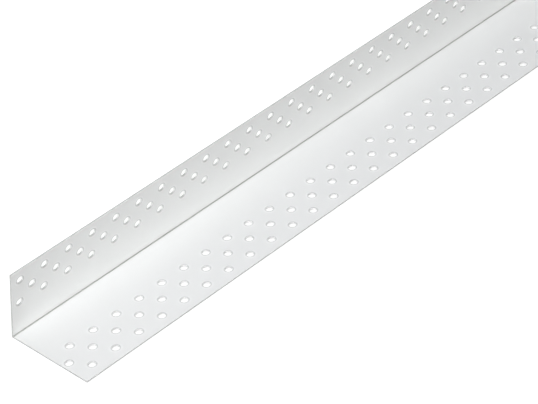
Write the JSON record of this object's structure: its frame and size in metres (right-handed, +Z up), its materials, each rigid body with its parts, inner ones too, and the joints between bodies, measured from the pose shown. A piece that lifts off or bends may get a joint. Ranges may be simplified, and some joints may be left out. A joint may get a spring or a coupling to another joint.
{
  "type": "drywall corner bead",
  "caption": "White plastic angle bead with one wide and one narrow leg and staggered rows of punched holes, fixed over an outside drywall corner to protect it",
  "frame": {"origin": "middle of the bead's length and of the flat leg's width, on the floor under the flat leg", "axes": "+Y runs along the bead, +Z points up from the floor on the side of the standing leg, and +X points from the standing leg to the flat leg's free edge"},
  "size_m": [0.0444, 2.44, 0.0344],
  "materials": {
    "white_pvc": "satin"
  },
  "bodies": {
    "root": {"corner_bead": "white_pvc"}
  },
  "joints": []
}
